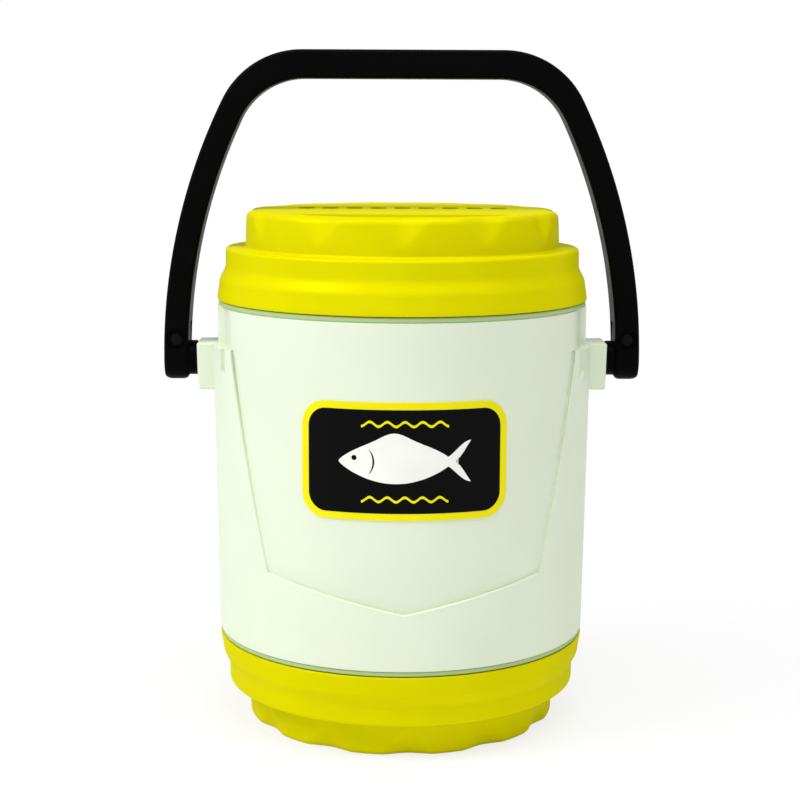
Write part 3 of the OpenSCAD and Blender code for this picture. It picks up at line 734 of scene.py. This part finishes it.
class BAIT_OT_materials(bpy.types.Operator):
    """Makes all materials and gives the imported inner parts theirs"""

    bl_idname = "bait.materials"
    bl_label = "Materials"

    def execute(self, context):
        c = context.scene.bait_colours
        moulded_plastic("milky_plastic", c.shell, 0.4, 0.15, drift=0.02)
        moulded_plastic("yellow_plastic", c.lid, 0.36, 0.0, own_gloss=0.08)
        # Collar plastic: a real part whose grey-green colour is painted shade for the band between lids and shell.
        moulded_plastic("collar_painted_shade_plastic", c.collar, 0.45, 0.3)
        moulded_plastic("liner_plastic", c.liner, 0.3, 0.5, drift=0.02)
        moulded_plastic("black_plastic", c.bail, 0.38, 0.02)
        rigid_foam("cream_foam", c.foam)
        rubber("gasket_rubber", c.rubber)
        woven_mesh("screen_mesh", c.screen)
        brushed_steel("clip_steel", c.steel, 0.35)
        enamel("black_enamel", c.enamel)
        for name, rgb in (("black_ink", c.ink_black), ("yellow_ink", c.ink_yellow), ("white_ink", c.ink_white)):
            printed_ink(name, rgb)
        finishes = {
            "body_insulation": "cream_foam", "inner_liner": "liner_plastic",
            "top_neck_ring": "collar_painted_shade_plastic", "bottom_neck_ring": "collar_painted_shade_plastic",
            "pivot_clip_left": "clip_steel", "pivot_clip_right": "clip_steel",
            "pivot_stud_left": "black_plastic", "pivot_stud_right": "black_plastic",
            "handle_rivet_left": "black_enamel", "handle_rivet_right": "black_enamel",
        }
        for end in ("top", "bottom"):
            finishes |= {f"{end}_lid_insulation": "cream_foam", f"{end}_lid_liner": "liner_plastic",
                         f"{end}_lid_gasket": "gasket_rubber", f"{end}_vent_screen": "screen_mesh"}
        for node, finish in finishes.items():
            paint(node, finish)
        return {"FINISHED"}


def lid_outline(s):
    """Outline of the lid, (radius, height), outer side first."""
    h, band_u, band_top_u, draft = s.height, 6 * MM, 12.6 * MM, 0.3 * MM
    shoulder_round, foot_r, top_r, edge = 1.3 * MM, 0.8 * MM, 2.4 * MM, 0.4 * MM
    plate_u, skin = h - s.sunk_depth - s.plate_t, 2.5 * MM
    ceiling, wall_r = s.shoulder_u - skin, s.wall_r
    return [
        *line(s.bore_r + 2 * MM, 0, s.edge_r - edge, 0, 2),
        *arc(s.edge_r - edge, edge, edge, -60, 0, 2),
        *line(s.edge_r - 0.1 * MM, 1.5 * MM, s.edge_r - 0.5 * MM, 4 * MM, 2),
        *ease(s.edge_r - 0.8 * MM, band_u, s.band_r + 0.1 * MM, band_top_u, 14),
        *line(s.band_r + 0.05 * MM, band_top_u + 1.5 * MM, s.band_r, s.shoulder_u - shoulder_round - 1 * MM, 2),
        *arc(s.band_r - shoulder_round, s.shoulder_u - shoulder_round, shoulder_round, 0, 90, 8),
        *line(s.band_r - 3 * MM, s.shoulder_u, s.knob_r + foot_r + 1 * MM, s.shoulder_u, 2),
        *arc(s.knob_r + foot_r, s.shoulder_u + foot_r, foot_r, -90, -180, 5),
        *line(s.knob_r - 0.03 * MM, s.shoulder_u + 1.6 * MM, s.knob_r - draft, h - top_r - 0.6 * MM, 14),
        *arc(s.knob_r - draft - top_r, h - top_r, top_r, 0, 90, 8),
        *line(s.knob_r - draft - top_r - 0.8 * MM, h, s.sunk_r + 1 * MM, h, 2),
        (0, h), (0, plate_u), (wall_r - 0.5 * MM, plate_u), (wall_r, plate_u - 0.5 * MM),
        (wall_r, ceiling), (s.bore_r - 1 * MM, ceiling), (s.bore_r, ceiling - 1 * MM),
        (s.bore_r, 3.4 * MM), (s.bore_r + 2 * MM, 2.2 * MM),
    ]


def flute_depth(s, turn, u):
    """Depth of the flutes below the knob, for a turn from the middle of the nearest one."""
    flank, root_r, blend = math.tan(math.radians(11.5)), 14 * MM, 0.12 * MM
    x = abs(s.knob_r * math.sin(turn))
    root_x = root_r * flank
    rise = x * x / (2 * root_r) if x < root_x else root_x * flank / 2 + (x - root_x) * flank
    lie = s.flute_depth / (s.height - s.flute_tip_u)
    depth = lie * (u - s.flute_tip_u) - rise - x * x / (2 * s.knob_r)
    return blend * math.log1p(math.exp(min(40.0, depth / blend)))


def thread_ridge(bm, root_r, crest_r, z0, sweep, lead, start):
    """One start of a trapezoidal helical ridge, closed and faded at both ends."""
    steps = int(sweep / 5)
    embed = root_r + (0.9 if root_r > crest_r else -0.9) * MM
    section = [(embed, -1.1), (crest_r, -0.6), (crest_r, 0.6), (embed, 1.1)]
    verts = [bm.verts.new((r, 0, z0 + half * MM)) for r, half in section]
    edges = [bm.edges.new(pair) for pair in zip(verts, verts[1:] + verts[:1])]
    bmesh.ops.rotate(bm, cent=(0, 0, 0), matrix=Matrix.Rotation(start, 3, "Z"), verts=verts)
    known = set(bm.verts) - set(verts)
    rise = lead * sweep / 360 / steps
    bmesh.ops.spin(bm, geom=verts + edges, cent=(0, 0, 0), axis=(0, 0, 1), dvec=(0, 0, rise),
                   angle=math.radians(sweep), steps=steps)
    made = [v for v in bm.verts if v not in known]
    for v in made:
        r = math.hypot(v.co.x, v.co.y)
        along = (math.degrees(math.atan2(v.co.y, v.co.x)) - math.degrees(start)) % 360
        along = 0 if along > sweep + 5 else along
        fade = min(1, (along + 1) / 18, (sweep - along + 1) / 18)
        if abs(r - crest_r) < 0.3 * MM:
            new_r = root_r + (crest_r - root_r) * max(0.02, fade)
            v.co = (v.co.x * new_r / r, v.co.y * new_r / r, v.co.z)
    ends = [e for e in bm.edges if e.is_boundary]
    bmesh.ops.holes_fill(bm, edges=ends, sides=0)


def sunk_cutter(s):
    """The shallow front of the top up to its straight wall, with a rounded upper edge."""
    lip, floor_u = 0.35 * MM, s.height - s.sunk_depth
    levels = [(0, floor_u), *arc(lip, s.height - lip, lip, 180, 90, 5), (lip, s.height + 1 * MM)]
    bm = bmesh.new()
    below = None
    for out, z in levels:
        r, wall_y = s.sunk_r + out, s.sunk_wall_y - out
        end = math.degrees(math.asin(wall_y / r))
        front = arc(0, 0, r, end - 180, -end, 64)
        wall = line(*front[-1], *front[0], 24)[1:-1]
        ring = [bm.verts.new((x, y, z)) for x, y in front + wall]
        edges = [bm.edges.new(pair) for pair in zip(ring, ring[1:] + ring[:1])]
        if below:
            bmesh.ops.bridge_loops(bm, edges=below + edges)
        else:
            bm.faces.new(ring)
        below = edges
    bm.faces.new(ring)
    return piece_of(outwards(bm), "cutter")


def vent_cutter(s):
    """All vent slots of a lid, round-ended."""
    bm = bmesh.new()
    for i in range(s.vents):
        new = bmesh.ops.create_cube(bm, size=1)["verts"]
        bmesh.ops.scale(bm, vec=(s.vent_w, s.vent_far_y - s.vent_near_y, 12 * MM), verts=new)
        bmesh.ops.translate(bm, vec=((i - (s.vents - 1) / 2) * s.vent_pitch,
                                     (s.vent_near_y + s.vent_far_y) / 2, s.height), verts=new)
    upright = [e for e in bm.edges if abs(e.verts[0].co.z - e.verts[1].co.z) > 10 * MM]
    bmesh.ops.bevel(bm, geom=upright, offset=s.vent_w * 0.499, segments=6, profile=0.5, affect="EDGES", material=-1)
    return piece_of(bm, "cutter")


class BAIT_OT_lids(bpy.types.Operator):
    """Models both screw lids with their flutes, sunk fronts, vents and threads"""

    bl_idname = "bait.lids"
    bl_label = "Screw lids"

    def execute(self, context):
        s = context.scene.bait_lid
        seam = LID_BOX[0].z
        for end, phase in (("top", s.top_phase), ("bottom", s.bottom_phase)):
            bm = outwards(spun(lid_outline(s), 28 * s.flutes))
            full_r, still_r = s.knob_r - 2.7 * MM, s.sunk_r + 1 * MM
            for level in {v.co.z for v in bm.verts if v.co.xy.length < 1 * MM}:
                flat = [f for f in bm.faces if all(abs(v.co.z - level) < 0.01 * MM and v.co.xy.length < s.wall_r
                                                   for v in f.verts)]
                bmesh.ops.dissolve_faces(bm, faces=[f for f in flat if f.calc_center_median().xy.length < still_r])
            for v in bm.verts:
                r = v.co.xy.length
                inner = v.co.z < s.height - 0.1 * MM and r < s.wall_r + 0.1 * MM
                if inner or v.co.z < s.shoulder_u + 0.5 * MM or r < still_r or r > s.knob_r + 0.5 * MM:
                    continue
                pitch = 2 * math.pi / s.flutes
                turn = (math.atan2(v.co.y, v.co.x) + math.pi / 2 + pitch / 2) % pitch - pitch / 2
                share = min(1, (r - still_r) / (full_r - still_r))
                new_r = r - flute_depth(s, turn, v.co.z) * share
                v.co = (v.co.x * new_r / r, v.co.y * new_r / r, v.co.z)
            lid = piece_of(outwards(bm), f"{end}_lid", "yellow_plastic")
            cut(lid, sunk_cutter(s))
            cut(lid, vent_cutter(s))
            bm = bmesh.new()
            bm.from_mesh(lid.data)
            bmesh.ops.rotate(bm, cent=(0, 0, 0), matrix=Matrix.Rotation(phase if end == "top" else -phase, 3, "Z"),
                             verts=bm.verts)
            for start in (0, math.pi):
                thread_ridge(bm, s.bore_r, s.bore_r - 1.65 * MM, 5.1 * MM, 200, s.lead, start)
            bmesh.ops.translate(bm, vec=(0, 0, seam), verts=bm.verts)
            if end == "bottom":
                on_lower_end(bm)
            bm.to_mesh(lid.data)
            bm.free()
            place(weighted(lid), f"{end}_lid", "lid_plastic", f"{end}_lid_shell")
        return {"FINISHED"}


def bail_side(s, bend_r, corner_r, level_z, pivot_z):
    """One side of the bail, (x, z), from the pivot up to the start of the grip bar."""
    centre_x = s.out_x - s.bend_r
    a = math.asin((level_z - corner_r - pivot_z) / (bend_r - corner_r))
    corner_x = centre_x + (bend_r - corner_r) * math.cos(a)
    bend = arc(centre_x, pivot_z, bend_r, 0, math.degrees(a), 24)
    return bend + arc(corner_x, level_z - corner_r, corner_r, math.degrees(a), 90, 18)[1:]


def section(bm_verts, outer, inner, half, r):
    """Moves a ring of vertices to a rounded section between an outer and an inner point."""
    out, back = Vector((outer[0], 0, outer[1])), Vector((inner[0], 0, inner[1]))
    across = (out - back).normalized()
    middle, thick = (out + back) / 2, (out - back).length / 2
    r = max(0.02 * MM, min(r, thick * 0.95, half * 0.95))
    corners = [(1, 1, 0), (1, -1, 270), (-1, -1, 180), (-1, 1, 90)]
    per = len(bm_verts) // 4
    for n, v in enumerate(bm_verts):
        a, b, start = corners[n // per]
        turn = math.radians(start + 90 - 90 * (n % per) / (per - 1))
        x = a * (thick - r) + r * math.cos(turn)
        y = b * max(0, half - r) + r * math.sin(turn)
        v.co = middle + across * x + Vector((0, y, 0))


class BAIT_OT_bail(bpy.types.Operator):
    """Models the carrying bail with its rounded edges, feet and rivet seats"""

    bl_idname = "bait.bail"
    bl_label = "Carrying bail"

    def execute(self, context):
        s, can = context.scene.bait_bail, context.scene.bait_can
        top, half = BAIL_BOX[1].z, BAIL_BOX[1].y
        outer = bail_side(s, s.bend_r, s.corner_out_r, top, can.pivot_z)
        inner = bail_side(s, s.bend_r - s.arm_t, s.corner_in_r, top - s.bar_t, can.pivot_z)
        stations = []
        for k in range(13):
            turn = math.pi / 2 * (1 - k / 12)
            z = can.pivot_z - half * math.sin(turn)
            low = z - (can.pivot_z - half)
            inset = s.foot_round - math.sqrt(max(0, s.foot_round ** 2 - max(0, s.foot_round - low) ** 2))
            stations.append(((s.out_x - inset, z), (s.out_x - s.arm_t + inset, z), half * math.cos(turn)))
        stations += [(a, b, half) for a, b in zip(outer[1:], inner[1:])]
        stations += [((outer[-1][0] * k, top), (inner[-1][0] * k, top - s.bar_t), half)
                     for k in (0.8, 0.6, 0.4, 0.2, 0)]
        bm = bmesh.new()
        ring = [bm.verts.new((0, 0, n)) for n in range(24)]
        edges = [bm.edges.new(pair) for pair in zip(ring, ring[1:] + ring[:1])]
        section(ring, *stations[0], s.edge_r)
        bm.faces.new(ring)
        for outer_at, inner_at, depth in stations[1:]:
            moved = bmesh.ops.extrude_edge_only(bm, edges=edges)["geom"]
            verts = [g for g in moved if isinstance(g, bmesh.types.BMVert)]
            edges = [g for g in moved if isinstance(g, bmesh.types.BMEdge)]
            ring = [next(e.other_vert(v) for e in v.link_edges if e.other_vert(v) in set(verts)) for v in ring]
            section(ring, outer_at, inner_at, depth, s.edge_r)
        bmesh.ops.mirror(bm, geom=[*bm.verts, *bm.edges, *bm.faces], axis="X", merge_dist=0.01 * MM)
        bail = piece_of(outwards(bm), "carrying_bail", "black_plastic")
        for side in (0, math.pi):
            turn = Matrix.Rotation(side, 3, "Z")
            seat = Vector((s.rivet_x, 0, s.rivet_z))
            cut(bail, tongue_cutter(s, side))
            cut(bail, rod(1.7 * MM, turn @ (seat - Vector((0, 10 * MM, 0))), turn @ Vector((0, 20 * MM, 0))))
            for face in (1, -1):
                out = Vector((0, face * (half + 0.6 * MM), 0))
                cut(bail, seat_cutter(turn @ (seat + out), turn @ Vector((0, face, 0))))
        place(weighted(bail), "handle", "handle_plastic", "carry_handle")
        return {"FINISHED"}


def tongue_cutter(s, side):
    """The pocket in the inner face of an arm that the tongue of the stud fills."""
    low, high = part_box("pivot_stud_right")
    bm = bmesh.new()
    bmesh.ops.create_cube(bm, size=1)
    inner = s.out_x - s.arm_t - 3 * MM
    bmesh.ops.scale(bm, vec=(high.x - inner, s.tongue_w, high.z - s.tongue_z), verts=bm.verts)
    bmesh.ops.translate(bm, vec=((high.x + inner) / 2, 0, (high.z + s.tongue_z) / 2), verts=bm.verts)
    bmesh.ops.rotate(bm, cent=(0, 0, 0), matrix=Matrix.Rotation(side, 3, "Z"), verts=bm.verts)
    return piece_of(bm, "cutter")


def seat_cutter(where, outward):
    """A rivet seat with a rounded lip, cut inwards from just outside the face."""
    lip, r, deep, above = 0.5 * MM, 3.6 * MM, 1.4 * MM, 0.6 * MM
    bm = spun([(0.001 * MM, above), (r + lip + 0.1 * MM, above), (r + lip + 0.1 * MM, 0),
               *arc(r + lip, -lip, lip, 90, 180, 5), (r, -deep), (0.001 * MM, -deep)], 48)
    outwards(bm)
    turn = Vector((0, 0, 1)).rotation_difference(outward).to_matrix().to_4x4()
    bmesh.ops.transform(bm, matrix=Matrix.Translation(where - outward * above) @ turn, verts=bm.verts)
    return piece_of(bm, "cutter")


def wrapped(bm, base_r, thick, middle_z, mirror=1):
    """Bends a flat print in the XZ plane round the can and gives it a thickness."""
    bmesh.ops.recalc_face_normals(bm, faces=bm.faces)
    made = bmesh.ops.extrude_face_region(bm, geom=list(bm.faces))["geom"]
    raised = {g for g in made if isinstance(g, bmesh.types.BMVert)}
    for v in bm.verts:
        r = base_r + (thick if v in raised else 0)
        turn = v.co.x / base_r
        v.co = (r * math.sin(turn), -r * math.cos(turn), middle_z + v.co.z)
    return outwards(bm)


def leaf(columns, rows, reach, low, high):
    """A flat shape along X whose lower and upper edges follow two functions of x."""
    bm = bmesh.new()
    bmesh.ops.create_grid(bm, x_segments=columns, y_segments=rows, size=1)
    for v in bm.verts:
        x, share = reach(v.co.x, v.co.y), (v.co.y + 1) / 2
        v.co = (x, 0, low(x) + (high(x) - low(x)) * share)
    return bm


class BAIT_OT_label(bpy.types.Operator):
    """Models the front label: black field, yellow border and waves, and a plain white fish"""

    bl_idname = "bait.label"
    bl_label = "Front label"

    def execute(self, context):
        s = context.scene.bait_label
        low, high = LABEL_BOX
        middle = (low.z + high.z) / 2
        half_w = s.base_r * math.asin(high.x / (s.base_r + s.base_t))
        half_h = (high.z - low.z) / 2

        def edge(x, inset):
            r, flat = s.corner - inset, half_w - s.corner
            past = max(0, abs(x) - flat)
            return half_h - s.corner + math.sqrt(max(0, r * r - past * past))

        ink_r = s.base_r + s.base_t
        for name, ink, inset, r, thick, nodes in (
                ("label_border", "yellow_ink", 0, s.base_r, s.base_t, ["front_label"]),
                ("label_field", "black_ink", s.border, ink_r, s.ink_t, [])):
            field = leaf(72, 8, lambda x, y: math.sin(x * math.pi / 2) * (half_w - inset),
                         lambda x: -edge(x, inset), lambda x: edge(x, inset))
            self.layer(field, name, ink, r, thick, middle, *nodes)
        ink_r += s.ink_t

        nose, tail = -s.fish_l / 2, s.fish_l / 2

        def body(x, side):
            t = (x - nose) / s.fish_l
            trunk = s.fish_h / 2 * math.sin(math.pi * min(1, t / 0.86)) ** 0.75 if t < 0.86 else 0
            fin = 0.16 * s.fish_h * math.exp(-((t - 0.42) / 0.13) ** 2) * (side > 0)
            fan = s.fish_h * 0.48 * soft_step((t - 0.72) / 0.28) ** 1.3
            return side * max(trunk + fin, fan, 0.07 * s.fish_h * min(1, t / 0.03))

        fish = leaf(90, 8, lambda x, y: x * tail - 0.12 * s.fish_l * (1 - abs(y)) * max(0, x - 0.8) / 0.2,
                    lambda x: body(x, -1), lambda x: body(x, 1))
        self.layer(fish, "label_fish", "white_ink", ink_r, s.ink_t, middle)
        eye = bmesh.new()
        bmesh.ops.create_circle(eye, cap_ends=True, segments=24, radius=0.9 * MM,
                                matrix=Matrix.Translation((nose * 0.76, 0, 1.3 * MM)) @ Matrix.Rotation(math.pi / 2, 4, "X"))
        self.layer(eye, "label_fish_eye", "black_ink", ink_r + s.ink_t, s.ink_t, middle)
        gill = leaf(24, 1, lambda x, y: x, lambda x: -1, lambda x: 1)
        for v in gill.verts:
            turn, wide = 0.7 * v.co.x, s.gill_w / 2 * (1.2 - v.co.x ** 2) * v.co.z
            v.co = (nose * 0.75 + (s.gill_r + wide) * math.cos(turn), 0, (s.gill_r + wide) * math.sin(turn))
        self.layer(gill, "label_fish_gill", "black_ink", ink_r + s.ink_t, s.ink_t, middle)
        for side in (1, -1):
            wave = leaf(96, 1, lambda x, y: x * s.wave_l / 2,
                        lambda x: side * s.wave_z + 0.8 * MM * math.cos(x / s.wave_l * 10 * math.pi) - 0.45 * MM,
                        lambda x: side * s.wave_z + 0.8 * MM * math.cos(x / s.wave_l * 10 * math.pi) + 0.45 * MM)
            self.layer(wave, "label_wave_" + ("upper" if side > 0 else "lower"), "yellow_ink", ink_r, s.ink_t,
                       middle)
        return {"FINISHED"}

    def layer(self, bm, name, ink, r, thick, middle, *nodes):
        """Bends a flat shape round the can as one printed layer."""
        place(piece_of(wrapped(bm, r, thick, middle), name, ink), "can", "label_print", *nodes)


class BAIT_PT_can(bpy.types.Panel):
    """Lists the steps and their sizes"""

    bl_label = "Bait Can"
    bl_idname = "BAIT_PT_can"
    bl_space_type = "VIEW_3D"
    bl_region_type = "UI"
    bl_category = "Bait Can"

    def draw(self, context):
        for step, group in STEPS.items():
            box = self.layout.box()
            box.operator(step)
            settings = getattr(context.scene, group)
            for name in settings.bl_rna.properties.keys():
                if name not in {"rna_type", "name"}:
                    box.prop(settings, name)


CLASSES = (CanSizes, LidSizes, BailSizes, LabelSizes, FinishColours, StageSettings,
           BAIT_OT_stage, BAIT_OT_materials, BAIT_OT_shell, BAIT_OT_lids, BAIT_OT_bail, BAIT_OT_label,
           BAIT_PT_can)
STEPS = {"bait.stage": "bait_stage", "bait.materials": "bait_colours", "bait.shell": "bait_can",
         "bait.lids": "bait_lid", "bait.bail": "bait_bail", "bait.label": "bait_label"}
SETTINGS = {"bait_can": CanSizes, "bait_lid": LidSizes, "bait_bail": BailSizes,
            "bait_label": LabelSizes, "bait_colours": FinishColours, "bait_stage": StageSettings}


def register():
    for kind in CLASSES:
        bpy.utils.register_class(kind)
    for name, kind in SETTINGS.items():
        setattr(bpy.types.Scene, name, PointerProperty(type=kind))


def unregister():
    for name in SETTINGS:
        delattr(bpy.types.Scene, name)
    for kind in reversed(CLASSES):
        bpy.utils.unregister_class(kind)


def main():
    register()
    bpy.ops.bait.stage()
    bpy.ops.bait.materials()
    bpy.ops.bait.shell()
    bpy.ops.bait.lids()
    bpy.ops.bait.bail()
    bpy.ops.bait.label()


if __name__ == "__main__":
    main()
